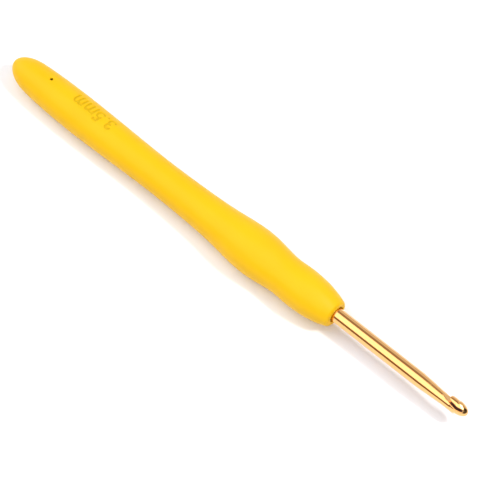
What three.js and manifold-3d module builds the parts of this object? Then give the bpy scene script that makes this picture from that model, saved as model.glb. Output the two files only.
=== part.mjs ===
// Soft-grip crochet hook, size 3.5 mm.
// One aluminium hook is held in a rigid core, and a soft grip is moulded over the core.
// Units are millimetres. Along the tool's own axis, x = 0 is the grip's rear end and x grows
// towards the tip. The tool lies on z = 0, with the size mark's side up.
import * as THREE from 'three';
import { mergeVertices } from 'three/addons/utils/BufferGeometryUtils.js';
import Module from 'manifold-3d';

const wasm = await Module();
wasm.setup();

// ---- Driving dimensions ----------------------------------------------------------------

const GAP = 0.3; // between the faces of neighbouring pieces
const CLEAR = 10; // how far a cutting tool runs on past what it cuts

// Hook
const SHANK_RADIUS = 1.75; // half of the 3.5 mm size
const TIP_X = 139.4; // the tool's whole length
const TAPER_START_X = 125.8;
const NECK_X = 133.6; // the taper's thin end
const NECK_RADIUS = 1.31;
const STEM_END_RADIUS = 0.98; // inside the head
const TANG_REAR_X = 64; // the hidden end inside the core
const TANG_CHAMFER = 0.4;
const TANG_FLAT_LENGTH = 11; // two flats keep the hook from turning in the core
const TANG_FLAT_HALF_THICKNESS = 1.25;

// Head: a bulb whose centre line lies on the mouth's side of the shank's axis
const NECK_DROP = 0.1; // the neck's centre lies this far to the back of the shank's axis
const HEAD_OFFSET = 0.445;
const HEAD_HALF_WIDTH = 1.4;
const HEAD_HALF_HEIGHT = 1.58;
const NOSE_LENGTH = 2.8;
const HEAD_STRAIGHT_LENGTH = 1.5;
const HEAD_REAR_LENGTH = 1.8; // rounded rear end, most of it cut away by the mouth
const MOUTH_ROLL = THREE.MathUtils.degToRad(32); // the mouth's turn past straight up, about x

// Mouth: a channel that runs in under the lip from behind and right through from side to side.
// Each station is [distance behind the tip, height over the shank's axis, half of the gap].
const MOUTH_CHANNEL = [
  [1.25, 0.8, 0.3], // throat
  [2.5, 0.74, 0.3],
  [3.8, 0.86, 0.3],
  [5, 1.14, 0.36], // under the lip's tail
  [6.3, 1.95, 0.84], // over the neck
  [7, 3.1, 1.3], // out
];

// Grip outline: a rear cap, a smooth curve through the stations [x, radius], and a nose
const GRIP_LENGTH = 101.8;
const REAR_CAP = { length: 8.4, radius: 4.08, endX: 7 };
const BODY_STATIONS = [
  [22, 4.55], // rear swell
  [34, 4.36],
  [46, 4.11], // slimmest
  [58, 4.28],
  [69, 4.92],
  [77, 5.6], // palm bulge
  [82, 5.27],
  [86.5, 4.77], // finger waist
];
const NOSE = { startX: 91.5, radius: 4.92, length: 13.4 }; // starts at the front swell
const NOSE_EDGE_RADIUS = 0.8;
const BORE_RADIUS = SHANK_RADIUS + GAP;
const OVAL_WIDTH = 1.02; // the grip's section, relative to the outline's radius
const OVAL_HEIGHT = 0.96;

// Core
const SKIN_THICKNESS = 1.35; // soft material over the core
const CORE_REAR_X = 4;
const CORE_FRONT_X = 97.5;
const CORE_END_RADIUS = 1.2; // rounded rear edge
const CORE_PLAIN_XS = [10, 26, 42, 58, 66, 71, 75, 79, 82, 85, 88]; // outline points between grooves
const LOCK_GROOVE_XS = [18, 34, 50, 92]; // grooves that the soft material locks into
const LOCK_GROOVE_WIDTH = 2.4;
const LOCK_GROOVE_DEPTH = 0.45;

// Locating-pin hole, left in the soft skin by the mould
const PIN_HOLE = { x: 12.2, radius: 0.4, roll: THREE.MathUtils.degToRad(9) };

// Rest: the grip lies on two small flats, under the rear swell and under the palm bulge
const REAR_REST_X = 22;
const FRONT_REST_X = 77;
const REST_FLAT_DEPTH = 0.18;

// Mesh fineness: segments round an axis, and steps along an outline
const GRIP_SEGMENTS = 40;
const CORE_SEGMENTS = 28;
const HOOK_SEGMENTS = 32;
const PIN_HOLE_SEGMENTS = 12;
const THROAT_SEGMENTS = 6;
const GRIP_CAP_STEPS = 8;
const GRIP_BODY_STEP = 3; // millimetres
const GRIP_NOSE_STEPS = 7;
const GRIP_EDGE_STEPS = 3;
const CORE_END_STEPS = 3;
const HEAD_REAR_STEPS = 6;
const HEAD_NOSE_STEPS = 8;
const MOUTH_STEPS = 15;
const BISECTIONS = 40; // to find where the nose's edge rounding starts

// ---- Helpers ---------------------------------------------------------------------------

// A closed surface of revolution about x, from an outline of [x, radius] points.
function latheAlongX(outline, segments) {
  const points = outline.map(([x, radius]) => new THREE.Vector2(radius, x));
  const geometry = new THREE.LatheGeometry(points, segments);
  geometry.rotateZ(-Math.PI / 2);
  return geometry;
}

// A plain rod along x.
function rodAlongX(startX, endX, radius, segments) {
  return latheAlongX([[startX, 0], [startX, radius], [endX, radius], [endX, 0]], segments);
}

function boxBetween(low, high) {
  const size = high.map((value, axis) => value - low[axis]);
  const geometry = new THREE.BoxGeometry(...size);
  geometry.translate(low[0] + size[0] / 2, low[1] + size[1] / 2, low[2] + size[2] / 2);
  return geometry;
}

function toSolid(geometry) {
  const bare = geometry.clone();
  bare.deleteAttribute('normal');
  bare.deleteAttribute('uv');
  const merged = mergeVertices(bare, 1e-4);
  const mesh = new wasm.Mesh({
    numProp: 3,
    vertProperties: new Float32Array(merged.attributes.position.array),
    triVerts: new Uint32Array(merged.index.array),
  });
  return new wasm.Manifold(mesh);
}

function toGeometry(solid) {
  const mesh = solid.getMesh();
  const geometry = new THREE.BufferGeometry();
  geometry.setAttribute('position', new THREE.BufferAttribute(mesh.vertProperties, 3));
  geometry.setIndex(new THREE.BufferAttribute(mesh.triVerts, 1));
  geometry.computeVertexNormals();
  return geometry;
}

// Points on an ellipse about [centreX, 0]; angle 0 points to +x and 90 degrees outwards.
function ellipseArc(centreX, semiX, semiRadius, startAngle, endAngle, steps) {
  const points = [];
  for (let i = 0; i <= steps; i += 1) {
    const angle = THREE.MathUtils.lerp(startAngle, endAngle, i / steps);
    points.push([centreX + semiX * Math.cos(angle), semiRadius * Math.sin(angle)]);
  }
  return points;
}

// ---- Grip outline ----------------------------------------------------------------------

// The rear cap, from the pole to where the body's curve takes over.
function rearCapOutline() {
  const { length, radius, endX } = REAR_CAP;
  const endAngle = Math.acos((endX - length) / length);
  return ellipseArc(length, length, radius, Math.PI, endAngle, GRIP_CAP_STEPS);
}

// The front rounding: the nose ellipse, then an edge arc that turns square to the axis.
function noseOutline() {
  const slopeAt = (angle) => Math.atan2(NOSE.radius * Math.cos(angle), NOSE.length * Math.sin(angle));
  const edgeStartX = (angle) => GRIP_LENGTH - NOSE_EDGE_RADIUS * (1 - Math.sin(slopeAt(angle)));
  let low = 0;
  let high = Math.PI / 2;
  for (let i = 0; i < BISECTIONS; i += 1) {
    const middle = (low + high) / 2;
    if (NOSE.startX + NOSE.length * Math.cos(middle) > edgeStartX(middle)) {
      low = middle;
    } else {
      high = middle;
    }
  }
  const nose = ellipseArc(NOSE.startX, NOSE.length, NOSE.radius, Math.PI / 2, high, GRIP_NOSE_STEPS);
  const [noseEndX, noseEndRadius] = nose[nose.length - 1];
  const slope = slopeAt(high);
  const centreX = noseEndX - NOSE_EDGE_RADIUS * Math.sin(slope);
  const centreRadius = noseEndRadius - NOSE_EDGE_RADIUS * Math.cos(slope);
  const startAngle = Math.PI / 2 - slope;
  const edge = ellipseArc(centreX, NOSE_EDGE_RADIUS, NOSE_EDGE_RADIUS, startAngle, 0, GRIP_EDGE_STEPS);
  return [...nose, ...edge.slice(1).map(([x, radius]) => [x, centreRadius + radius])];
}

// The grip's outer outline from the rear pole to the inner edge of its front face.
function gripOutline() {
  const cap = rearCapOutline();
  const nose = noseOutline();
  const capEnd = cap[cap.length - 1];
  const stations = [capEnd, ...BODY_STATIONS, nose[0]];
  const curve = new THREE.SplineCurve(stations.map(([x, radius]) => new THREE.Vector2(x, radius)));
  const bodySteps = Math.round((nose[0][0] - capEnd[0]) / GRIP_BODY_STEP);
  const body = curve.getSpacedPoints(bodySteps).slice(1, -1).map((point) => [point.x, point.y]);
  return [...cap, ...body, ...nose];
}

const outerOutline = gripOutline();

// The outline's radius at x, read between its points.
function outlineRadius(x) {
  const next = outerOutline.findIndex(([pointX]) => pointX >= x);
  const [nextX, nextRadius] = outerOutline[next];
  const [lastX, lastRadius] = outerOutline[next - 1];
  return THREE.MathUtils.mapLinear(x, lastX, nextX, lastRadius, nextRadius);
}

// ---- Core outline ----------------------------------------------------------------------

// The core's outside, grown on every side by the given amount: by 0 for the core itself,
// and by the gap for the space that the soft skin leaves for it.
function coreOutline(grow) {
  const coreRadius = (x) => outlineRadius(x) - SKIN_THICKNESS + grow;
  const rearX = CORE_REAR_X - grow;
  const frontX = CORE_FRONT_X + grow;
  const corner = CORE_END_RADIUS + grow;
  const shoulderX = rearX + corner;
  const endFaceRadius = coreRadius(shoulderX) - corner;
  const rear = ellipseArc(shoulderX, corner, corner, Math.PI, Math.PI / 2, CORE_END_STEPS);
  const halfWidth = LOCK_GROOVE_WIDTH / 2 - grow;
  const grooves = LOCK_GROOVE_XS.map((x) => [
    [x - halfWidth, coreRadius(x)],
    [x - halfWidth, coreRadius(x) - LOCK_GROOVE_DEPTH],
    [x + halfWidth, coreRadius(x) - LOCK_GROOVE_DEPTH],
    [x + halfWidth, coreRadius(x)],
  ]);
  const plain = CORE_PLAIN_XS.map((x) => [[x, coreRadius(x)]]);
  const body = [...plain, ...grooves].sort((a, b) => a[0][0] - b[0][0]).flat();
  return [
    [rearX, 0],
    ...rear.map(([x, radius]) => [x, endFaceRadius + radius]),
    ...body,
    [frontX, coreRadius(CORE_FRONT_X)],
  ];
}

// ---- Sub-parts -------------------------------------------------------------------------

// The soft skin: the ergonomic outside, with the core's space and the shank's bore inside.
function makeSoftGrip(toLocal) {
  const cavity = coreOutline(GAP);
  const cavityFrontX = cavity[cavity.length - 1][0];
  const outline = [
    ...outerOutline,
    [GRIP_LENGTH, BORE_RADIUS],
    [cavityFrontX, BORE_RADIUS],
    ...cavity.reverse(),
  ];
  const skin = latheAlongX(outline, GRIP_SEGMENTS);
  skin.scale(1, OVAL_WIDTH, OVAL_HEIGHT);

  const { x, radius, roll } = PIN_HOLE;
  const pinHole = new THREE.CylinderGeometry(radius, radius, CLEAR, PIN_HOLE_SEGMENTS);
  pinHole.rotateX(Math.PI / 2);
  pinHole.translate(x, 0, CLEAR / 2);
  pinHole.rotateX(-roll);

  const floor = boxBetween([-TIP_X, -CLEAR, -CLEAR], [TIP_X, CLEAR, 0]);
  floor.applyMatrix4(toLocal);

  return toGeometry(toSolid(skin).subtract(toSolid(pinHole)).subtract(toSolid(floor)));
}

// The tang's end: a round bar with two flats, grown by the given amount and turned about x.
function tangEnd(grow, roll) {
  const startX = TANG_REAR_X - grow;
  const flatEndX = TANG_REAR_X + TANG_FLAT_LENGTH;
  const half = TANG_FLAT_HALF_THICKNESS + grow;
  const radius = SHANK_RADIUS + grow;
  const bar = rodAlongX(startX, flatEndX, radius, HOOK_SEGMENTS);
  const slab = boxBetween([startX - CLEAR, -CLEAR, -half], [flatEndX + CLEAR, CLEAR, half]);
  slab.rotateX(-roll);
  return toSolid(bar).intersect(toSolid(slab));
}

// The rigid core, with a socket that fits the tang and its flats.
function makeHandleCore() {
  const outline = coreOutline(0);
  const frontX = outline[outline.length - 1][0];
  const body = latheAlongX([...outline, [frontX, 0]], CORE_SEGMENTS);
  body.scale(1, OVAL_WIDTH, OVAL_HEIGHT);
  const roundStartX = TANG_REAR_X + TANG_FLAT_LENGTH - GAP;
  const socket = rodAlongX(roundStartX, frontX + CLEAR, SHANK_RADIUS + GAP, HOOK_SEGMENTS);
  return toGeometry(toSolid(body).subtract(toSolid(socket)).subtract(tangEnd(GAP, MOUTH_ROLL)));
}

// The head's bulb: nose, straight stretch and rounded rear, before the mouth is cut.
function headBulb() {
  const noseCentreX = TIP_X - NOSE_LENGTH;
  const rearCentreX = noseCentreX - HEAD_STRAIGHT_LENGTH;
  const rear = ellipseArc(rearCentreX, HEAD_REAR_LENGTH, 1, Math.PI, Math.PI / 2, HEAD_REAR_STEPS);
  const nose = ellipseArc(noseCentreX, NOSE_LENGTH, 1, Math.PI / 2, 0, HEAD_NOSE_STEPS);
  const bulb = latheAlongX([...rear, ...nose], HOOK_SEGMENTS);
  bulb.scale(1, HEAD_HALF_WIDTH, HEAD_HALF_HEIGHT);
  bulb.translate(0, 0, HEAD_OFFSET);
  return bulb;
}

// The mouth's cutting tool: the channel's two sides and its round inner end, drawn in the x-z
// plane and run right through along y.
function mouthCutter() {
  const channel = new THREE.CatmullRomCurve3(
    MOUTH_CHANNEL.map(([fromTip, height, half]) => new THREE.Vector3(TIP_X - fromTip, height, half)),
  );
  const lipSide = [];
  const neckSide = [];
  for (let i = 0; i <= MOUTH_STEPS; i += 1) {
    const { x, y: height, z: half } = channel.getPoint(i / MOUTH_STEPS);
    const tangent = channel.getTangent(i / MOUTH_STEPS);
    const normal = new THREE.Vector2(tangent.y, -tangent.x).normalize().multiplyScalar(half);
    lipSide.push([x + normal.x, height + normal.y]);
    neckSide.push([x - normal.x, height - normal.y]);
  }
  const [throatFromTip, throatHeight, throatHalf] = MOUTH_CHANNEL[0];
  const throatX = TIP_X - throatFromTip;
  const [topX, topZ] = lipSide[0];
  const lipAngle = Math.atan2(topZ - throatHeight, topX - throatX);
  const shape = new THREE.Shape();
  shape.moveTo(...neckSide[MOUTH_STEPS]);
  neckSide.slice(0, MOUTH_STEPS).reverse().forEach((point) => shape.lineTo(...point));
  shape.absarc(throatX, throatHeight, throatHalf, lipAngle - Math.PI, lipAngle, false);
  lipSide.forEach((point) => shape.lineTo(...point));
  shape.closePath();
  const reach = 2 * HEAD_HALF_WIDTH;
  const cutter = new THREE.ExtrudeGeometry(shape, {
    depth: 2 * reach,
    bevelEnabled: false,
    curveSegments: THROAT_SEGMENTS,
  });
  cutter.rotateX(Math.PI / 2);
  cutter.translate(0, reach, 0);
  return cutter;
}

// Lowers the taper and neck towards the hook's back, so that the back stays nearly straight.
function dropNeck(geometry) {
  const position = geometry.attributes.position;
  for (let i = 0; i < position.count; i += 1) {
    const along = THREE.MathUtils.mapLinear(position.getX(i), TAPER_START_X, NECK_X, 0, 1);
    position.setZ(i, position.getZ(i) - NECK_DROP * THREE.MathUtils.clamp(along, 0, 1));
  }
}

// The whole aluminium hook: flatted tang, shank, taper and neck, and the head with its mouth.
function makeHook() {
  const flatEndX = TANG_REAR_X + TANG_FLAT_LENGTH;
  const tangBar = rodAlongX(TANG_REAR_X, flatEndX, SHANK_RADIUS, HOOK_SEGMENTS);
  const stemEndX = TIP_X - NOSE_LENGTH;
  const stem = latheAlongX(
    [
      [TANG_REAR_X, 0],
      [TANG_REAR_X, SHANK_RADIUS - TANG_CHAMFER],
      [TANG_REAR_X + TANG_CHAMFER, SHANK_RADIUS],
      [TAPER_START_X, SHANK_RADIUS],
      [NECK_X, NECK_RADIUS],
      [stemEndX, STEM_END_RADIUS],
      [stemEndX, 0],
    ],
    HOOK_SEGMENTS,
  );
  dropNeck(stem);
  const besideFlats = toSolid(tangBar).subtract(tangEnd(0, 0));
  const uncut = toSolid(stem).subtract(besideFlats).add(toSolid(headBulb()));
  const hook = uncut.subtract(toSolid(mouthCutter()));
  const geometry = toGeometry(hook);
  geometry.rotateX(-MOUTH_ROLL);
  return geometry;
}

// ---- Assembly --------------------------------------------------------------------------

const softYellow = new THREE.MeshStandardMaterial({ color: 0xf8bd14, roughness: 0.6, metalness: 0 });
const corePlastic = new THREE.MeshStandardMaterial({ color: 0xd9d6cc, roughness: 0.5, metalness: 0 });
const goldAluminium = new THREE.MeshStandardMaterial({ color: 0xe6b35a, roughness: 0.2, metalness: 1 });

// The two rests carry the tool at slightly different heights, so its tip is a little raised.
const rearRestHeight = OVAL_HEIGHT * outlineRadius(REAR_REST_X) - REST_FLAT_DEPTH;
const frontRestHeight = OVAL_HEIGHT * outlineRadius(FRONT_REST_X) - REST_FLAT_DEPTH;
const pitch = Math.atan2(frontRestHeight - rearRestHeight, FRONT_REST_X - REAR_REST_X);

const group = new THREE.Group();
group.rotation.y = -pitch;
group.position.set(
  -(TIP_X / 2) * Math.cos(pitch),
  0,
  rearRestHeight - REAR_REST_X * Math.sin(pitch),
);
group.updateMatrix();
const worldToLocal = group.matrix.clone().invert();

const parts = [
  ['soft_grip', makeSoftGrip(worldToLocal), softYellow],
  ['handle_core', makeHandleCore(), corePlastic],
  ['hook', makeHook(), goldAluminium],
];
for (const [name, geometry, material] of parts) {
  const mesh = new THREE.Mesh(geometry, material);
  mesh.name = name;
  group.add(mesh);
}

export default group;
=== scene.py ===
"""Looks for the soft-grip crochet hook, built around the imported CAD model.

Shapes are made in millimetres in the tool's own frame: x runs along the tool from the grip's rear
end to the hook's tip, y is the world's +Y, and z is square to both, nearly straight up. They are
placed in the world by the matrix that tool_frame() works out from the CAD pieces.
"""

import math

import bpy
import numpy as np
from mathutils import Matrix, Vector


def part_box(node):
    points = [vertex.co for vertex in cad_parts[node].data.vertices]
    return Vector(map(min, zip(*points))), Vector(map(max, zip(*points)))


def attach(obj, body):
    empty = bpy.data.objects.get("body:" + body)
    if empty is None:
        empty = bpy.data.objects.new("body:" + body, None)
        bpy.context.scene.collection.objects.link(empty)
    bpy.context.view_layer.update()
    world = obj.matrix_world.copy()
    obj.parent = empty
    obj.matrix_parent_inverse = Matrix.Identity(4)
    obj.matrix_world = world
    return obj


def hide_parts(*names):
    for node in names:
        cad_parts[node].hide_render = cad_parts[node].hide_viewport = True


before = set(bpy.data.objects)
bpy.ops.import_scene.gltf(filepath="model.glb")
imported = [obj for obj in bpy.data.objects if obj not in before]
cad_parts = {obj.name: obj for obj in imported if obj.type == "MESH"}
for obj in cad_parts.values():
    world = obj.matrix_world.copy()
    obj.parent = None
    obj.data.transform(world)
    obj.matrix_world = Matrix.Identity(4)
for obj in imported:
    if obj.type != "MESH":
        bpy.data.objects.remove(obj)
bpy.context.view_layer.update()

MM = 0.001

# ---- Driving dimensions, in millimetres ----------------------------------------------------

# Grip outline: a rear cap, a smooth curve through the stations (x, radius), and a nose
REAR_CAP_LENGTH = 8.4
REAR_CAP_RADIUS = 4.08
REAR_CAP_END_X = 7
BODY_STATIONS = [
    (22, 4.55),  # rear swell
    (34, 4.36),
    (46, 4.11),  # slimmest
    (58, 4.28),
    (69, 4.92),
    (77, 5.6),  # palm bulge
    (82, 5.27),
    (86.5, 4.77),  # finger waist
]
NOSE_START_X = 91.5
NOSE_RADIUS = 4.92
NOSE_LENGTH = 13.4
NOSE_EDGE_RADIUS = 0.8
# How far the outline's middle wanders sideways, as (x, y), and its slope at the rear end
MIDDLE_LINE = [(0, 0.55), (8, 0.24), (18, 0.08), (32, 0.02), (74, 0), (88, -0.12), (102, -0.17)]
MIDDLE_LINE_REAR_SLOPE = -0.06
OVAL_WIDTH = 1.02  # the grip's section, relative to the outline's radius
OVAL_HEIGHT = 0.96
GAP = 0.3  # between the faces of neighbouring pieces
SKIN_THICKNESS = 1.35

# Size mark, sunk into the soft skin
MARK_TEXT = "3.5mm"
MARK_START_X = 32.3
MARK_ROLL = 10  # degrees past straight up, towards +y
MARK_HEIGHT = 3.3  # of the digits
MARK_STROKE = 0.5
MARK_DEPTH = 0.22
MARK_WALL = 0.14  # width of the sloping side of a stroke
MARK_SLANT = 0.08
MARK_LENGTH = 13.2  # of the stretch that the mark lies in
MARK_SHADE = 0.5  # the shade value of the mark's strokes, where holes have 1

# Locating-pin hole, left in the soft skin by the mould
PIN_X = 12.2
PIN_ROLL = 9  # degrees
PIN_PROFILE = [  # (distance from the hole's middle, depth), one mesh ring each
    (0, 1.0),
    (0.13, 1.0),
    (0.26, 1.0),
    (0.37, 0.97),
    (0.39, 0.6),
    (0.4, 0.09),
    (0.415, 0.02),
    (0.44, 0),
]
# Painted shade in the pin hole grows with depth and is full at this depth
PIN_SHADE_DEPTH = 0.2  # where the hole is fully dark

# Space inside the grip for the core
CORE_END_RADIUS = 1.2
LOCK_GROOVE_XS = [18, 34, 50, 92]  # the skin's ribs lock into the core's grooves here
LOCK_GROOVE_WIDTH = 2.4
LOCK_GROOVE_DEPTH = 0.45

# Hook
TAPER_LENGTH = 7.8
TAPER_EASE = 0.35  # 0 gives the taper straight sides, and 1 sides that swing in and out smoothly
NECK_FROM_TIP = 5.8
NECK_RADIUS = 1.31
NECK_DROP = 0.1  # the neck's centre lies this far to the back of the shank's axis
HEAD_OFFSET = 0.445  # the bulb's centre line, towards the mouth's side
HEAD_HALF_WIDTH = 1.4
HEAD_HALF_HEIGHT = 1.58
HEAD_NOSE = 2.8
HEAD_STRAIGHT = 1.4
HEAD_REAR = 2.0
LIP_START = 2.6  # behind the tip: the domed nose ends and the flatter lip begins
LIP_STEP = 0.1
LIP_STEP_LENGTH = 0.35
HEAD_WAIST_START = 3.5  # behind the tip: below the lip, the head narrows to the neck's width
HEAD_WAIST_LENGTH = 1.3
HEAD_WAIST = 0.35
HEAD_WAIST_TOP = 1.2  # height over the axis
HEAD_WAIST_FADE = 0.7
STEM_BLEND = 0.2  # width of the rounded crease between stem and head
MOUTH_BLEND = 0.2  # and along the mouth's edges
CHANNEL_BLEND = 0.03  # and between the straight pieces of the mouth's channel
MOUTH_ROLL = 32  # degrees past straight up, towards +y
MOUTH_CHANNEL = [  # (distance behind the tip, height over the axis, half of the gap)
    (1.25, 0.8, 0.3),  # throat
    (2.5, 0.74, 0.3),
    (3.8, 0.86, 0.3),
    (5, 1.14, 0.36),  # under the lip's tail
    (6.3, 1.95, 0.84),  # over the neck
    (7, 3.1, 1.3),  # out
]
THROAT_OPENING = 4.7  # behind the tip
THROAT_OPENING_LENGTH = 0.6
THROAT_EDGE = 0.35
TANG_CHAMFER = 0.4
TANG_FLAT_LENGTH = 11
TANG_FLAT_HALF_THICKNESS = 1.25

# Camera and light
CAMERA_AZIMUTH = 42.95  # degrees
CAMERA_ELEVATION = 58.1
CAMERA_DISTANCE = 600
CAMERA_LENS = 200.1
CAMERA_AIM = (72.8, -0.12, 0)  # the point of the tool's frame in the middle of the picture


# ---- The tool's own frame -------------------------------------------------------------------

def vertices_of(node):
    """A CAD node's vertices, in the world and in millimetres."""
    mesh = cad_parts[node].data
    points = np.empty(3 * len(mesh.vertices))
    mesh.vertices.foreach_get("co", points)
    return points.reshape(-1, 3) / MM


def tool_frame():
    """The matrix from the tool's frame to the world, and x of the grip's front, tip and tang's rear.

    The core's two end faces are centred on the tool's axis, and the grip's rear end is x = 0.
    """
    core = vertices_of("handle_core")
    end_depth = 0.2  # an end face's vertices lie within this of the core's end
    rear = core[core[:, 0] < core[:, 0].min() + end_depth].mean(0)
    front = core[core[:, 0] > core[:, 0].max() - end_depth].mean(0)
    axis = (front - rear) / np.linalg.norm(front - rear)
    side = np.array([0.0, 1.0, 0.0])
    along_grip = (vertices_of("soft_grip") - rear) @ axis
    along_hook = (vertices_of("hook") - rear) @ axis
    matrix = np.eye(4)
    matrix[:3, 0] = axis
    matrix[:3, 1] = side
    matrix[:3, 2] = np.cross(axis, side)
    matrix[:3, 3] = rear + along_grip.min() * axis
    grip_front = along_grip.max() - along_grip.min()
    tip = along_hook.max() - along_grip.min()
    tang_rear = along_hook.min() - along_grip.min()
    return matrix, grip_front, tip, tang_rear


TOOL, GRIP_LENGTH, TIP_X, TANG_REAR_X = tool_frame()
SHANK_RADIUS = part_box("hook")[1].y / MM
BORE_RADIUS = SHANK_RADIUS + GAP


def to_world(points):
    """Points of the tool's frame in the world, still in millimetres."""
    return points @ TOOL[:3, :3].T + TOOL[:3, 3]


# ---- Mesh helpers ---------------------------------------------------------------------------

def new_object(name, points, faces, material, shade=None):
    """A smooth-shaded mesh object from points in world millimetres.

    shade is a value at each point, from 0 to 1, which the material turns into a darker colour:
    painted shade.
    """
    mesh = bpy.data.meshes.new(name)
    mesh.from_pydata((points * MM).tolist(), [], faces)
    if shade is not None:
        mesh.attributes.new("shade", "FLOAT", "POINT").data.foreach_set("value", shade)
    mesh.validate()
    mesh.shade_smooth()
    mesh.materials.append(material)
    thing = bpy.data.objects.new(name, mesh)
    bpy.context.scene.collection.objects.link(thing)
    return thing


def ease(share):
    """0 up to share 0, 1 from share 1, and smooth between."""
    share = np.clip(share, 0, 1)
    return share * share * (3 - 2 * share)


def graded(spans):
    """Values from the first start to the last end, evenly spaced within each (start, end, step)."""
    values = [spans[0][0]]
    for start, end, step in spans:
        count = max(1, round((end - start) / step))
        values.extend(np.linspace(start, end, count + 1)[1:])
    return np.array(values)


# ---- Grip outline ---------------------------------------------------------------------------

CAP_STEPS = 34
NOSE_STEPS = 26
NOSE_EDGE_STEPS = 10
HALVINGS = 40


def clamped_spline(knots, start_slope, end_slope):
    """A function of x: the cubic spline through the knots (x, value) with those end slopes."""
    xs, values = np.array(knots, float).T
    steps = np.diff(xs)
    count = len(xs)
    system = np.zeros((count, count))
    wanted = np.zeros(count)
    system[0, 0] = system[-1, -1] = 1
    wanted[0], wanted[-1] = start_slope, end_slope
    for i in range(1, count - 1):
        before, after = steps[i - 1], steps[i]
        system[i, i - 1 : i + 2] = after, 2 * (before + after), before
        rise_before = (values[i] - values[i - 1]) / before
        rise_after = (values[i + 1] - values[i]) / after
        wanted[i] = 3 * (after * rise_before + before * rise_after)
    slopes = np.linalg.solve(system, wanted)

    def value(x):
        i = np.clip(np.searchsorted(xs, x) - 1, 0, count - 2)
        t = (x - xs[i]) / steps[i]
        start, end = values[i], values[i + 1]
        leave, arrive = slopes[i] * steps[i], slopes[i + 1] * steps[i]
        cubic = 2 * start - 2 * end + leave + arrive
        square = 3 * end - 3 * start - 2 * leave - arrive
        return ((cubic * t + square) * t + leave) * t + start

    return value


def ellipse_arc(centre_x, semi_x, semi_radius, start, end, steps):
    """Points (x, radius) on an ellipse; angle 0 points to +x and pi / 2 outwards."""
    angles = np.linspace(start, end, steps + 1)
    return [(centre_x + semi_x * math.cos(a), semi_radius * math.sin(a)) for a in angles]


CAP_END_ANGLE = math.acos((REAR_CAP_END_X - REAR_CAP_LENGTH) / REAR_CAP_LENGTH)
CAP_END_RADIUS = REAR_CAP_RADIUS * math.sin(CAP_END_ANGLE)
CAP_END_SLOPE = -REAR_CAP_RADIUS / REAR_CAP_LENGTH / math.tan(CAP_END_ANGLE)
body_radius = clamped_spline(
    [(REAR_CAP_END_X, CAP_END_RADIUS), *BODY_STATIONS, (NOSE_START_X, NOSE_RADIUS)],
    CAP_END_SLOPE,
    0,
)
middle_line = clamped_spline(MIDDLE_LINE, MIDDLE_LINE_REAR_SLOPE, 0)


def nose_outline():
    """The nose ellipse, then an edge arc that turns square to the axis.

    The angle on the ellipse where the two arcs meet is found by halving.
    """

    def slope(angle):
        return math.atan2(NOSE_RADIUS * math.cos(angle), NOSE_LENGTH * math.sin(angle))

    low, high = 0.0, math.pi / 2
    for _ in range(HALVINGS):
        middle = (low + high) / 2
        edge_start = GRIP_LENGTH - NOSE_EDGE_RADIUS * (1 - math.sin(slope(middle)))
        if NOSE_START_X + NOSE_LENGTH * math.cos(middle) > edge_start:
            low = middle
        else:
            high = middle
    nose = ellipse_arc(NOSE_START_X, NOSE_LENGTH, NOSE_RADIUS, math.pi / 2, high, NOSE_STEPS)
    turn = slope(high)
    centre_x = nose[-1][0] - NOSE_EDGE_RADIUS * math.sin(turn)
    centre_radius = nose[-1][1] - NOSE_EDGE_RADIUS * math.cos(turn)
    edge = ellipse_arc(0, NOSE_EDGE_RADIUS, NOSE_EDGE_RADIUS, math.pi / 2 - turn, 0, NOSE_EDGE_STEPS)
    return nose + [(centre_x + x, centre_radius + radius) for x, radius in edge[1:]]


# ---- Size mark ------------------------------------------------------------------------------

def arc(centre, radii, start, end, steps=14):
    """Points of an elliptical stroke, with angles in degrees from the text's right."""
    turns = np.radians(np.linspace(start, end, steps + 1))
    return [(centre[0] + radii[0] * math.cos(a), centre[1] + radii[1] * math.sin(a)) for a in turns]


# Each glyph is (advance, strokes), in units of the digits' height, drawn from its left edge.
GLYPHS = {
    "3": (0.86, [
        arc((0.28, 0.75), (0.24, 0.25), 150, -90),
        arc((0.28, 0.26), (0.28, 0.26), 90, -145),
    ]),
    ".": (0.42, [[(0.06, 0.02), (0.06, 0.04)]]),
    "5": (0.84, [
        [(0.52, 1.0), (0.14, 1.0), (0.07, 0.56)],
        arc((0.25, 0.31), (0.3, 0.31), 125, -140),
    ]),
    "m": (1.25, [
        [(0.02, 0), (0.02, 0.76)],
        [*arc((0.24, 0.53), (0.22, 0.23), 165, 0), (0.46, 0)],
        [*arc((0.68, 0.53), (0.22, 0.23), 165, 0), (0.9, 0)],
    ]),
}


def mark_strokes():
    """The mark's strokes in millimetres: x along the text and y up the digits, from its start."""
    strokes = []
    pen = 0
    for letter in MARK_TEXT:
        advance, shapes = GLYPHS[letter]
        for shape in shapes:
            points = np.array([(pen + x + MARK_SLANT * y, y) for x, y in shape])
            strokes.append(points * (MARK_HEIGHT - MARK_STROKE))
        pen += advance
    return strokes


def distance_to_strokes(points, strokes):
    """The distance from each flat point to the nearest stroke's middle line."""
    nearest = np.full(len(points), np.inf)
    for stroke in strokes:
        for start, end in zip(stroke[:-1], stroke[1:]):
            along = end - start
            share = np.clip((points - start) @ along / (along @ along), 0, 1)
            gap = points - start - share[:, None] * along
            nearest = np.minimum(nearest, np.hypot(gap[:, 0], gap[:, 1]))
    return nearest


def mark_share(x, roll):
    """1 on the mark's sunk strokes and 0 beside them, at x and a roll in degrees."""
    radius = body_radius(MARK_START_X)
    across = -np.radians(roll - MARK_ROLL) * radius + (MARK_HEIGHT - MARK_STROKE) / 2
    points = np.stack([MARK_START_X - x, across], -1)
    edge = distance_to_strokes(points, mark_strokes()) - MARK_STROKE / 2
    return ease(0.5 - edge / MARK_WALL)


# ---- Grip skin ------------------------------------------------------------------------------

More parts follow.
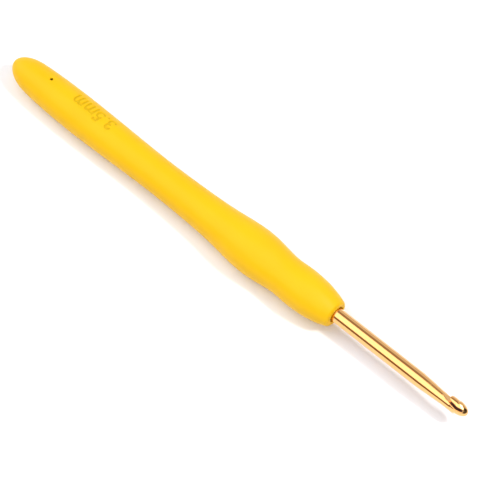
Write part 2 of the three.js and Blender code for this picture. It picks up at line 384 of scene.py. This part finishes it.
FINE_ROLL_STEP = 0.8  # degrees between the mesh's columns under the mark and the pin hole
FINE_ROLLS_BEFORE_PIN = 27
FINE_ROLLS_AFTER_PIN = 30
COARSE_ROLL_STEP = 4.2
PIN_RINGS = 9  # mesh rings from the pin hole's middle to where the grid is square again
REAR_ROW_STEP = 0.3  # millimetres between the mesh's rows behind the pin hole
MIDDLE_ROW_STEP = 0.4  # between pin hole and mark
MARK_ROW_STEP = 0.065
FRONT_ROW_STEP = 0.55
FACE_ROW_STEP = 0.4  # on the front face
BORE_ROW_STEP = 0.8
CAVITY_ROW_STEP = 1.6
SHOULDER_STEPS = 6
SHARP_ANGLE = 60  # degrees


def grip_rolls():
    """Angles of the mesh's columns in degrees, closer together near the mark."""
    low = PIN_ROLL - FINE_ROLLS_BEFORE_PIN * FINE_ROLL_STEP
    high = PIN_ROLL + FINE_ROLLS_AFTER_PIN * FINE_ROLL_STEP
    return graded([(low, high, FINE_ROLL_STEP), (high, low + 360, COARSE_ROLL_STEP)])[:-1]


def outer_outline():
    """Rows of the outer skin from the rear pole to the front face, as (x, radius) points."""
    pin_step = math.radians(FINE_ROLL_STEP) * body_radius(PIN_X)
    pin_half = PIN_RINGS * pin_step
    cap = ellipse_arc(
        REAR_CAP_LENGTH, REAR_CAP_LENGTH, REAR_CAP_RADIUS, math.pi, CAP_END_ANGLE, CAP_STEPS
    )
    body_xs = graded([
        (REAR_CAP_END_X, PIN_X - pin_half, REAR_ROW_STEP),
        (PIN_X - pin_half, PIN_X + pin_half, pin_step),
        (PIN_X + pin_half, MARK_START_X - MARK_LENGTH, MIDDLE_ROW_STEP),
        (MARK_START_X - MARK_LENGTH, MARK_START_X + MARK_STROKE, MARK_ROW_STEP),
        (MARK_START_X + MARK_STROKE, NOSE_START_X, FRONT_ROW_STEP),
    ])
    body = [(x, body_radius(x)) for x in body_xs[1:-1]]
    return cap + body + nose_outline()


def cavity_outline(outer):
    """Rows of the core's space, from the bore's inner end to the rear pole."""
    outer_xs, outer_radii = np.array(outer).T

    def radius(x):
        return float(np.interp(x, outer_xs, outer_radii)) - SKIN_THICKNESS + GAP

    core_ends = (vertices_of("handle_core") - TOOL[:3, 3]) @ TOOL[:3, 0]
    rear_x = core_ends.min() - GAP
    front_x = core_ends.max() + GAP
    corner = CORE_END_RADIUS + GAP
    shoulder_x = rear_x + corner
    rows = [(x, radius(x)) for x in graded([(shoulder_x, front_x, CAVITY_ROW_STEP)])[1:-1]]
    half_width = LOCK_GROOVE_WIDTH / 2 - GAP
    for x in LOCK_GROOVE_XS:
        top = radius(x)
        rows = [row for row in rows if abs(row[0] - x) > half_width]
        rows += [(x - half_width, top), (x - half_width, top - LOCK_GROOVE_DEPTH)]
        rows += [(x + half_width, top - LOCK_GROOVE_DEPTH), (x + half_width, top)]
    rows.sort(key=lambda row: row[0])
    shoulder = ellipse_arc(shoulder_x, corner, corner, math.pi, math.pi / 2, SHOULDER_STEPS)
    drop = radius(shoulder_x) - corner
    rear = [(x, drop + rise) for x, rise in shoulder]
    whole = [(rear_x, 0), *rear, *rows, (front_x, radius(front_x - GAP))]
    return whole[::-1]


def pin_hole(points, shade, xs):
    """Turns the square grid round the pin hole into rings, sinks them and darkens them with painted
    shade.
    """
    step = math.radians(FINE_ROLL_STEP) * body_radius(PIN_X)
    row = int(np.argmin(abs(xs - PIN_X)))
    column = FINE_ROLLS_BEFORE_PIN
    for i in range(-PIN_RINGS + 1, PIN_RINGS):
        for j in range(-PIN_RINGS + 1, PIN_RINGS):
            ring = max(abs(i), abs(j))
            reach = math.hypot(i, j) or 1
            if ring < len(PIN_PROFILE):
                distance, depth = PIN_PROFILE[ring]
            else:
                distance, depth = (ring * step + reach * step) / 2, 0
            x = PIN_X + distance * i / reach
            roll = PIN_ROLL + math.degrees(distance * j / reach / body_radius(PIN_X))
            points[row + i, column + j] = section_point(x, body_radius(x) - depth, roll)
            shade[row + i, column + j] = ease(depth / PIN_SHADE_DEPTH)


def section_point(x, radius, roll):
    """A point on the grip's oval section, at a roll in degrees."""
    turn = np.radians(roll)
    return np.stack(
        np.broadcast_arrays(
            x, OVAL_WIDTH * radius * np.sin(turn), OVAL_HEIGHT * radius * np.cos(turn)
        ),
        -1,
    )


def lathe_faces(rows, columns):
    """Faces of a closed surface of revolution with a pole before and after its rows."""
    first_pole = rows * columns
    last_pole = first_pole + 1
    last_row = (rows - 1) * columns
    faces = []
    for j in range(columns):
        k = (j + 1) % columns
        faces.append((first_pole, j, k))
        for i in range(rows - 1):
            near, far = i * columns, (i + 1) * columns
            faces.append((near + j, far + j, far + k, near + k))
        faces.append((last_row + j, last_pole, last_row + k))
    return faces


def sink_mark(radii, shade, xs, rolls):
    """Lowers the points of these rows that lie on the mark's strokes and darkens them with painted
    shade.
    """
    ends = [MARK_START_X - MARK_LENGTH, MARK_START_X + MARK_STROKE]
    for i in range(*np.searchsorted(xs, ends)):
        share = mark_share(np.full(len(rolls), xs[i]), (rolls + 180) % 360 - 180)
        radii[i] -= MARK_DEPTH * share
        shade[i] = MARK_SHADE * share


def make_grip(material):
    """The soft skin in one mesh: its outside, front face and bore, and the core's space."""
    rolls = grip_rolls()
    outer = outer_outline()
    cavity = cavity_outline(outer)
    face_radii = graded([(outer[-1][1], BORE_RADIUS, FACE_ROW_STEP)])[1:]
    bore_xs = graded([(GRIP_LENGTH, cavity[0][0], BORE_ROW_STEP)])[1:]
    face = [(GRIP_LENGTH, radius) for radius in face_radii]
    bore = [(x, BORE_RADIUS) for x in bore_xs]
    xs, radii = np.array([*outer[1:], *face, *bore, *cavity[:-1]]).T
    outer_xs = xs[: len(outer) - 1]
    radii = np.repeat(radii[:, None], len(rolls), 1)
    shade = np.zeros(radii.shape)
    sink_mark(radii, shade, outer_xs, rolls)
    # painted shade: the bore and the core's space are coloured fully dark
    shade[len(outer_xs) + len(face) :] = 1
    points = section_point(xs[:, None], radii, rolls)
    pin_hole(points, shade, outer_xs)
    skin = points[: len(outer_xs)]
    skin[..., 1] += middle_line(skin[..., 0])
    poles = np.array([[outer[0][0], 0, 0], [cavity[-1][0], 0, 0]])
    world = to_world(np.concatenate([points.reshape(-1, 3), poles]))
    world[:, 2] = np.maximum(world[:, 2], 0)
    shade = np.concatenate([shade.ravel(), [0, 1]])
    grip = new_object("grip_skin", world, lathe_faces(len(xs), len(rolls)), material, shade)
    grip.data.set_sharp_from_angle(angle=math.radians(SHARP_ANGLE))
    return grip


# ---- Hook -----------------------------------------------------------------------------------

FAR = 99.0  # more than any distance on the hook
WELL_INSIDE = -1.0  # a distance that leaves it to the other parts where the surface is
TINY = 1e-3  # keeps the middle of the head from dividing by zero
CHANNEL_STEPS = 30
SLOPE_STEP = 1e-3
PROJECTIONS = 4  # times that each point is moved onto the exact surface
LEAST_SLOPE_SQUARED = 0.05
GRID_MARGIN = 0.25
HEAD_GRID = 0.06  # millimetres between grid lines in taper and head, and across the whole tool
TAPER_START_GRID = 0.15
STEP_GRID = 0.1  # at the tang's end and at the end of its flats
PLAIN_GRID = 0.6
TANG_END_SPAN = 1  # how far the finer lines reach at each of these places
FLAT_END_SPAN = 0.5
TAPER_START_SPAN = 1


def soft_min(a, b, width):
    """The smaller of two distances, with the crease between them rounded."""
    share = np.clip(0.5 + 0.5 * (b - a) / width, 0, 1)
    return b * (1 - share) + a * share - width * share * (1 - share)


def soft_max(a, b, width):
    """The larger of two distances, with the crease between them rounded."""
    return -soft_min(-a, -b, width)


def stem_distance(x, y, z):
    """Distance to the tang, shank, taper and neck. The mouth's side is +z."""
    behind = TIP_X - x
    share = np.clip((NECK_FROM_TIP + TAPER_LENGTH - behind) / TAPER_LENGTH, 0, 1)
    share = (1 - TAPER_EASE) * share + TAPER_EASE * ease(share)
    radius = SHANK_RADIUS + (NECK_RADIUS - SHANK_RADIUS) * share
    round_bar = np.hypot(y, z + NECK_DROP * share) - radius
    chamfer = (np.hypot(y, z) - SHANK_RADIUS + TANG_REAR_X + TANG_CHAMFER - x) / math.sqrt(2)
    past_flats = x - TANG_REAR_X - TANG_FLAT_LENGTH
    over_flat = np.abs(z) - TANG_FLAT_HALF_THICKNESS
    flats = np.where(past_flats < 0, np.minimum(over_flat, -past_flats), WELL_INSIDE)
    ends = np.maximum(TANG_REAR_X - x, HEAD_NOSE - behind)
    return np.maximum.reduce([round_bar, chamfer, flats, ends])


def bulb_distance(x, y, z):
    """Distance to the head before the mouth is cut."""
    behind = TIP_X - x
    in_nose = (HEAD_NOSE - behind) / HEAD_NOSE
    in_rear = (behind - HEAD_NOSE - HEAD_STRAIGHT) / HEAD_REAR
    along = np.maximum(0, np.maximum(in_nose, in_rear))
    length = np.where(in_nose > 0, HEAD_NOSE, HEAD_REAR)
    lip = LIP_STEP * ease((behind - LIP_START) / LIP_STEP_LENGTH)
    waist = HEAD_WAIST * ease((behind - HEAD_WAIST_START) / HEAD_WAIST_LENGTH)
    waist = waist * ease((HEAD_WAIST_TOP - z) / HEAD_WAIST_FADE)
    half_width = HEAD_HALF_WIDTH - lip - waist
    half_height = HEAD_HALF_HEIGHT - lip
    up = z - HEAD_OFFSET
    size = np.sqrt(along**2 + (y / half_width) ** 2 + (up / half_height) ** 2)
    steepness = np.sqrt(
        (along / length) ** 2 + (y / half_width**2) ** 2 + (up / half_height**2) ** 2
    )
    return (size - 1) * np.maximum(size, TINY) / np.maximum(steepness, TINY)


def channel_centres():
    """The mouth's channel as (distance behind the tip, height, half of the gap) on a smooth curve."""
    stations = np.array(MOUTH_CHANNEL)
    turns = np.linspace(0, len(stations) - 1, CHANNEL_STEPS + 1)
    columns = []
    for values in stations.T:
        start_slope = values[1] - values[0]
        end_slope = values[-1] - values[-2]
        curve = clamped_spline(list(enumerate(values)), start_slope, end_slope)
        columns.append(curve(turns))
    return np.stack(columns, -1)


CHANNEL = channel_centres()


def mouth_distance(x, z):
    """Distance to the channel that runs through the head from side to side."""
    spot = np.stack([TIP_X - x, z], -1)
    nearest = np.full(x.shape, FAR)
    for start, end in zip(CHANNEL[:-1], CHANNEL[1:]):
        along = end[:2] - start[:2]
        share = np.clip((spot - start[:2]) @ along / (along @ along), 0, 1)
        gap = spot - start[:2] - share[..., None] * along
        half = start[2] + (end[2] - start[2]) * share
        edge = np.hypot(gap[..., 0], gap[..., 1]) - half
        nearest = soft_min(nearest, edge, CHANNEL_BLEND)
    return nearest


def uncut_distance(x, y, z):
    """Distance to the hook as it is before the mouth is cut."""
    return soft_min(stem_distance(x, y, z), bulb_distance(x, y, z), STEM_BLEND)


def hook_distance(x, y, z):
    """Distance to the finished hook: negative inside the metal."""
    return soft_max(uncut_distance(x, y, z), -mouth_distance(x, z), MOUTH_BLEND)


def throat_shade_share(points):
    """How deep in the throat each point is, for the throat's painted shade and roughness: 0 outside
    the metal's outline, 1 well inside.
    """
    depth = -uncut_distance(*points.T)
    under_lip = (THROAT_OPENING - (TIP_X - points[:, 0])) / THROAT_OPENING_LENGTH
    return ease(depth / THROAT_EDGE) * ease(under_lip)


def surface_nets(distance, xs, ys, zs):
    """Points and faces of the surface where distance is 0, on a grid with these lines."""
    lines = (xs, ys, zs)
    places = np.stack(np.meshgrid(*lines, indexing="ij"), -1)
    values = distance(places[..., 0], places[..., 1], places[..., 2])
    cells = tuple(len(line) - 1 for line in lines)
    total = np.zeros((*cells, 3))
    count = np.zeros(cells)
    crossings = []
    for axis in range(3):
        low = [slice(None)] * 3
        high = [slice(None)] * 3
        low[axis] = slice(None, -1)
        high[axis] = slice(1, None)
        before, after = values[tuple(low)], values[tuple(high)]
        crossed = (before < 0) != (after < 0)
        share = np.where(crossed, before / np.where(crossed, before - after, 1), 0)[..., None]
        point = places[tuple(low)] * (1 - share) + places[tuple(high)] * share
        crossings.append((crossed, before < 0))
        side, other = [a for a in range(3) if a != axis]
        for side_shift in (0, 1):
            for other_shift in (0, 1):
                part = [slice(None)] * 3
                part[side] = slice(side_shift, cells[side] + side_shift)
                part[other] = slice(other_shift, cells[other] + other_shift)
                part = tuple(part)
                total += np.where(crossed[part][..., None], point[part], 0)
                count += crossed[part]
    used = count > 0
    index = np.full(cells, -1)
    index[used] = np.arange(used.sum())
    points = total[used] / count[used][:, None]
    faces = []
    for axis, (crossed, leaving) in enumerate(crossings):
        side, other = (axis + 1) % 3, (axis + 2) % 3
        inner = [slice(None)] * 3
        inner[side] = inner[other] = slice(1, -1)
        at = np.argwhere(crossed[tuple(inner)])
        at[:, side] += 1
        at[:, other] += 1
        outward = leaving[tuple(at.T)]
        ring = []
        for side_shift, other_shift in ((1, 1), (0, 1), (0, 0), (1, 0)):
            cell = at.copy()
            cell[:, side] -= side_shift
            cell[:, other] -= other_shift
            ring.append(index[tuple(cell.T)])
        quads = np.stack(ring, -1)
        quads[~outward] = quads[~outward][:, ::-1]
        faces.append(quads)
    return points, np.concatenate(faces)


def slope_at(distance, points):
    """The distance's gradient at each point."""
    slopes = []
    for axis in range(3):
        shift = np.zeros(3)
        shift[axis] = SLOPE_STEP
        ahead = distance(*(points + shift).T)
        back = distance(*(points - shift).T)
        slopes.append((ahead - back) / (2 * SLOPE_STEP))
    return np.stack(slopes, -1)


def hook_grid():
    """The grid's lines along x, y and z, closer together where the hook's shape changes."""
    flat_end = TANG_REAR_X + TANG_FLAT_LENGTH
    taper_start = TIP_X - NECK_FROM_TIP - TAPER_LENGTH
    xs = graded([
        (TANG_REAR_X - GRID_MARGIN, TANG_REAR_X + TANG_END_SPAN, STEP_GRID),
        (TANG_REAR_X + TANG_END_SPAN, flat_end - FLAT_END_SPAN, PLAIN_GRID),
        (flat_end - FLAT_END_SPAN, flat_end + FLAT_END_SPAN, STEP_GRID),
        (flat_end + FLAT_END_SPAN, taper_start - TAPER_START_SPAN, PLAIN_GRID),
        (taper_start - TAPER_START_SPAN, taper_start + TAPER_START_SPAN, TAPER_START_GRID),
        (taper_start + TAPER_START_SPAN, TIP_X + GRID_MARGIN, HEAD_GRID),
    ])
    half = SHANK_RADIUS + GRID_MARGIN
    top = HEAD_OFFSET + HEAD_HALF_HEIGHT + GRID_MARGIN
    return xs, graded([(-half, half, HEAD_GRID)]), graded([(-half, top, HEAD_GRID)])


def make_hook(material):
    """The whole hook as one mesh, drawn with its mouth up and then rolled into place."""
    points, faces = surface_nets(hook_distance, *hook_grid())
    for _ in range(PROJECTIONS):
        slope = slope_at(hook_distance, points)
        squared = np.maximum((slope**2).sum(-1), LEAST_SLOPE_SQUARED)
        points = points - slope * (hook_distance(*points.T) / squared)[:, None]
    slope = slope_at(hook_distance, points)
    normals = slope / np.linalg.norm(slope, axis=1)[:, None]
    roll = math.radians(MOUTH_ROLL)
    turn = np.array([
        [1, 0, 0],
        [0, math.cos(roll), math.sin(roll)],
        [0, -math.sin(roll), math.cos(roll)],
    ])
    world = to_world(points @ turn.T)
    # the mesh's shade values carry the throat's painted shade
    hook = new_object("hook_metal", world, faces.tolist(), material, throat_shade_share(points))
    hook.data.normals_split_custom_set_from_vertices(normals @ turn.T @ TOOL[:3, :3].T)
    return hook


# ---- Materials ------------------------------------------------------------------------------

# Painted shade in the mark's sunk strokes
MARK_SHADE_OLIVE = (0.62, 0.395, 0.001)
# Painted shade in the pin hole, the bore and the core's space
HOLE_SHADE_BROWN = (0.1, 0.025, 0.003)
# Painted shade in the hook's throat
THROAT_SHADE_BROWN = (0.2, 0.045, 0.008)
THROAT_ROUGHNESS = (0.5, 0.5, 0.5)


def set_stops(node, stops):
    """Gives a colour ramp node its (position, colour or grey) stops."""
    elements = node.color_ramp.elements
    while len(elements) < len(stops):
        elements.new(0.5)
    for element, (position, colour) in zip(elements, stops):
        element.position = position
        grey = isinstance(colour, (int, float))
        element.color = (colour, colour, colour, 1) if grey else (*colour, 1)


class Nodes:
    """A material's node tree, with short calls for the nodes that these looks use."""

    def __init__(self, name):
        self.material = bpy.data.materials.new(name)
        self.material.use_nodes = True
        self.tree = self.material.node_tree
        self.shader = self.tree.nodes["Principled BSDF"]
        self.place = self.tree.nodes.new("ShaderNodeTexCoord").outputs["Object"]

    def link(self, output, socket):
        self.tree.links.new(output, socket)

    def noise(self, size, detail=2.0, stretch=(1, 1, 1)):
        """Noise with blobs about size millimetres across, longer where stretch is larger."""
        mapping = self.tree.nodes.new("ShaderNodeMapping")
        mapping.inputs["Scale"].default_value = [1 / (size * MM * s) for s in stretch]
        self.link(self.place, mapping.inputs["Vector"])
        texture = self.tree.nodes.new("ShaderNodeTexNoise")
        texture.inputs["Scale"].default_value = 1
        texture.inputs["Detail"].default_value = detail
        self.link(mapping.outputs["Vector"], texture.inputs["Vector"])
        return texture.outputs["Fac"]

    def ramp(self, value, stops):
        """A colour ramp from (position, colour or grey) stops."""
        node = self.tree.nodes.new("ShaderNodeValToRGB")
        set_stops(node, stops)
        self.link(value, node.inputs["Fac"])
        return node.outputs["Color"]

    def attribute(self, name):
        """A value that the mesh holds at each point."""
        node = self.tree.nodes.new("ShaderNodeAttribute")
        node.attribute_name = name
        return node.outputs["Fac"]

    def mix(self, share, first, second):
        """first where share is 0, turning into the colour second where it is 1."""
        node = self.tree.nodes.new("ShaderNodeMix")
        node.data_type = "RGBA"
        self.link(share, node.inputs["Factor"])
        self.link(first, node.inputs["A"])
        node.inputs["B"].default_value = (*second, 1)
        return node.outputs["Result"]

    def bump(self, height, depth, strength, under=None):
        """A shading normal from a height, depth millimetres deep, on top of another bump."""
        node = self.tree.nodes.new("ShaderNodeBump")
        node.inputs["Distance"].default_value = depth * MM
        node.inputs["Strength"].default_value = strength
        self.link(height, node.inputs["Height"])
        if under is not None:
            self.link(under, node.inputs["Normal"])
        return node.outputs["Normal"]

    def set(self, **values):
        """Fixed values of the shader's sockets, named with _ for each space."""
        for name, value in values.items():
            self.shader.inputs[name.replace("_", " ")].default_value = value


def soft_yellow():
    """Matt moulded rubber: an even yellow with a fine spark-eroded texture, and painted shade in the
    mark's strokes, the pin hole and the bore.
    """
    nodes = Nodes("soft_yellow")
    cloud = nodes.noise(14)
    yellow = nodes.ramp(cloud, [(0.3, (0.8, 0.462, 0.002)), (0.7, (0.83, 0.485, 0.003))])
    shade = nodes.attribute("shade")
    mark_shade_share = nodes.ramp(shade, [(0, 0), (MARK_SHADE, 1)])
    hole_shade_share = nodes.ramp(shade, [(MARK_SHADE, 0), (1, 1)])
    # painted shade: the mark's sunk strokes turn olive
    mark_shaded = nodes.mix(mark_shade_share, yellow, MARK_SHADE_OLIVE)
    # painted shade: the pin hole, bore and core's space turn dark brown
    colour = nodes.mix(hole_shade_share, mark_shaded, HOLE_SHADE_BROWN)
    nodes.link(colour, nodes.shader.inputs["Base Color"])
    sheen = nodes.ramp(nodes.noise(3), [(0.3, 0.4), (0.7, 0.48)])
    nodes.link(sheen, nodes.shader.inputs["Roughness"])
    coarse = nodes.bump(nodes.noise(1.6), 0.02, 0.25)
    fine = nodes.bump(nodes.noise(0.16, 3), 0.012, 0.35, coarse)
    nodes.link(fine, nodes.shader.inputs["Normal"])
    nodes.set(Specular_IOR_Level=0.17)
    return nodes.material


def gold_aluminium():
    """Polished aluminium with a gold-dyed oxide: faint polishing lines, and a rough throat darkened
    with painted shade.
    """
    nodes = Nodes("gold_aluminium")
    cloud = nodes.noise(6, 3, (3, 1, 1))
    polished = nodes.ramp(cloud, [(0.3, (0.93, 0.5, 0.175)), (0.7, (0.96, 0.53, 0.195))])
    # painted shade: the throat's depth darkens the colour, and also makes the metal rough
    throat = nodes.attribute("shade")
    colour = nodes.mix(throat, polished, THROAT_SHADE_BROWN)
    nodes.link(colour, nodes.shader.inputs["Base Color"])
    lines = nodes.noise(0.12, 3, (60, 1, 1))
    sheen = nodes.ramp(lines, [(0.3, 0.07), (0.7, 0.11)])
    roughness = nodes.mix(throat, sheen, THROAT_ROUGHNESS)
    nodes.link(roughness, nodes.shader.inputs["Roughness"])
    nodes.link(nodes.bump(lines, 0.003, 0.2), nodes.shader.inputs["Normal"])
    nodes.set(Metallic=1, Coat_Weight=0.25, Coat_Roughness=0.1, Coat_IOR=1.6)
    return nodes.material


def core_plastic():
    """Natural ABS, slightly mottled."""
    nodes = Nodes("core_plastic")
    cloud = nodes.noise(5)
    colour = nodes.ramp(cloud, [(0.3, (0.66, 0.63, 0.55)), (0.7, (0.72, 0.69, 0.61))])
    nodes.link(colour, nodes.shader.inputs["Base Color"])
    nodes.link(nodes.bump(nodes.noise(0.3), 0.01, 0.3), nodes.shader.inputs["Normal"])
    nodes.set(Roughness=0.5)
    return nodes.material


# ---- Stage: floor, lights and camera --------------------------------------------------------

FLOOR_HALF_SIZE = 3000
WORLD_RADIANCE = 1.9  # of the brightest band
WHITE = (1, 1, 1)
WALL = (0.4, 0.41, 0.44)
DARK_BEHIND = (0.19, 0.15, 0.12)
DARK_IN_FRONT = (0.15, 0.11, 0.08)
# Light of the studio round the tool, by the angle from straight up towards the camera's side
WORLD_BANDS = [
    (-90, WALL),
    (-47, WALL),
    (-42, DARK_BEHIND),
    (-13, DARK_BEHIND),
    (-8, WHITE),  # big overhead softbox
    (57, WHITE),
    (61, DARK_IN_FRONT),
    (90, DARK_IN_FRONT),
]
SOFTBOX_ENDS = [  # (sine of the angle towards the tip's end, share of the radiance)
    (-0.75, 1.3),
    (-0.55, 1),
    (0.42, 1),
    (0.52, 0.07),
]
KEY_DIRECTION = (4.6, 1.66, 6.4)  # a small lamp that casts the shadow and isn't reflected
KEY_DISTANCE = 900
KEY_SIZE = 110
KEY_RADIANCE = 115
CARD_DIRECTION = (2.5, 1.5, 9.5)  # a white card that only shows as a highlight on the head
CARD_DISTANCE = 900
CARD_SIZE = (750, 300)
CARD_RADIANCE = 6
CAMERA_REACH = 10  # metres


def make_floor():
    """A plain, nearly white table top at z = 0."""
    nodes = Nodes("floor_white")
    colour = nodes.ramp(nodes.noise(400), [(0, (0.88, 0.89, 0.93)), (1, (0.9, 0.91, 0.95))])
    nodes.link(colour, nodes.shader.inputs["Base Color"])
    nodes.set(Roughness=0.9)
    half = FLOOR_HALF_SIZE
    corners = np.array([[-half, -half, 0], [half, -half, 0], [half, half, 0], [-half, half, 0]])
    floor = new_object("floor", corners.astype(float), [(0, 1, 2, 3)], nodes.material)


def area_light(name, direction, distance, size, radiance):
    """A rectangular light of even brightness that faces the origin."""
    position = Vector(direction).normalized() * distance * MM
    light = bpy.data.lights.new(name, "AREA")
    light.shape = "RECTANGLE"
    light.size, light.size_y = (side * MM for side in size)
    light.energy = radiance * math.pi * light.size * light.size_y
    lamp = bpy.data.objects.new(name, light)
    lamp.location = position
    lamp.rotation_euler = position.to_track_quat("Z", "Y").to_euler()
    bpy.context.scene.collection.objects.link(lamp)
    return lamp


def make_lights():
    """The shadow-casting key light, and the card that is only seen in reflections."""
    key = area_light("key", KEY_DIRECTION, KEY_DISTANCE, (KEY_SIZE, KEY_SIZE), KEY_RADIANCE)
    key.visible_glossy = False
    card = area_light("card", CARD_DIRECTION, CARD_DISTANCE, CARD_SIZE, CARD_RADIANCE)
    card.visible_diffuse = False


def make_world():
    """Studio light in bands that run along the tool, weaker past the softbox's end at the tip."""
    world = bpy.data.worlds.new("studio")
    world.use_nodes = True
    tree = world.node_tree
    background = tree.nodes["Background"]

    def node(kind, operation=None):
        made = tree.nodes.new(kind)
        if operation:
            made.operation = operation
        return made

    direction = node("ShaderNodeSeparateXYZ")
    tree.links.new(node("ShaderNodeTexCoord").outputs["Generated"], direction.inputs[0])
    turn = node("ShaderNodeMath", "ARCTAN2")
    tree.links.new(direction.outputs["Y"], turn.inputs[0])
    tree.links.new(direction.outputs["Z"], turn.inputs[1])
    share = node("ShaderNodeMapRange")
    share.inputs["From Min"].default_value = math.pi / 2
    share.inputs["From Max"].default_value = -math.pi / 2
    tree.links.new(turn.outputs[0], share.inputs["Value"])
    bands = node("ShaderNodeValToRGB")
    set_stops(bands, [((angle + 90) / 180, colour) for angle, colour in WORLD_BANDS])
    tree.links.new(share.outputs["Result"], bands.inputs["Fac"])
    reach = node("ShaderNodeMapRange")
    reach.inputs["From Min"].default_value = -1
    tree.links.new(direction.outputs["X"], reach.inputs["Value"])
    ends = node("ShaderNodeValToRGB")
    set_stops(ends, [((sine + 1) / 2, strength) for sine, strength in SOFTBOX_ENDS])
    tree.links.new(reach.outputs["Result"], ends.inputs["Fac"])
    radiance = node("ShaderNodeMath", "MULTIPLY")
    radiance.inputs[1].default_value = WORLD_RADIANCE
    tree.links.new(ends.outputs["Color"], radiance.inputs[0])
    tree.links.new(bands.outputs["Color"], background.inputs["Color"])
    tree.links.new(radiance.outputs[0], background.inputs["Strength"])
    bpy.context.scene.world = world


def make_camera():
    """The camera, aimed at a point of the tool and set as the scene's camera."""
    turn, rise = math.radians(CAMERA_AZIMUTH), math.radians(CAMERA_ELEVATION)
    towards = Vector((
        math.sin(turn) * math.cos(rise),
        -math.cos(turn) * math.cos(rise),
        math.sin(rise),
    ))
    aim = Vector(to_world(np.array(CAMERA_AIM))) * MM
    data = bpy.data.cameras.new("camera")
    data.lens = CAMERA_LENS
    data.clip_end = CAMERA_REACH
    camera = bpy.data.objects.new("camera", data)
    camera.location = aim + towards * CAMERA_DISTANCE * MM
    camera.rotation_euler = towards.to_track_quat("Z", "Y").to_euler()
    bpy.context.scene.collection.objects.link(camera)
    bpy.context.scene.camera = camera


# ---- Scene ----------------------------------------------------------------------------------

make_camera()
make_world()
make_floor()
make_lights()
bpy.context.scene.view_settings.view_transform = "Standard"

grip = make_grip(soft_yellow())
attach(grip, "root")
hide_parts("soft_grip")

hook = make_hook(gold_aluminium())
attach(hook, "root")
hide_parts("hook")

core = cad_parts["handle_core"]
core.data.materials.clear()
core.data.materials.append(core_plastic())
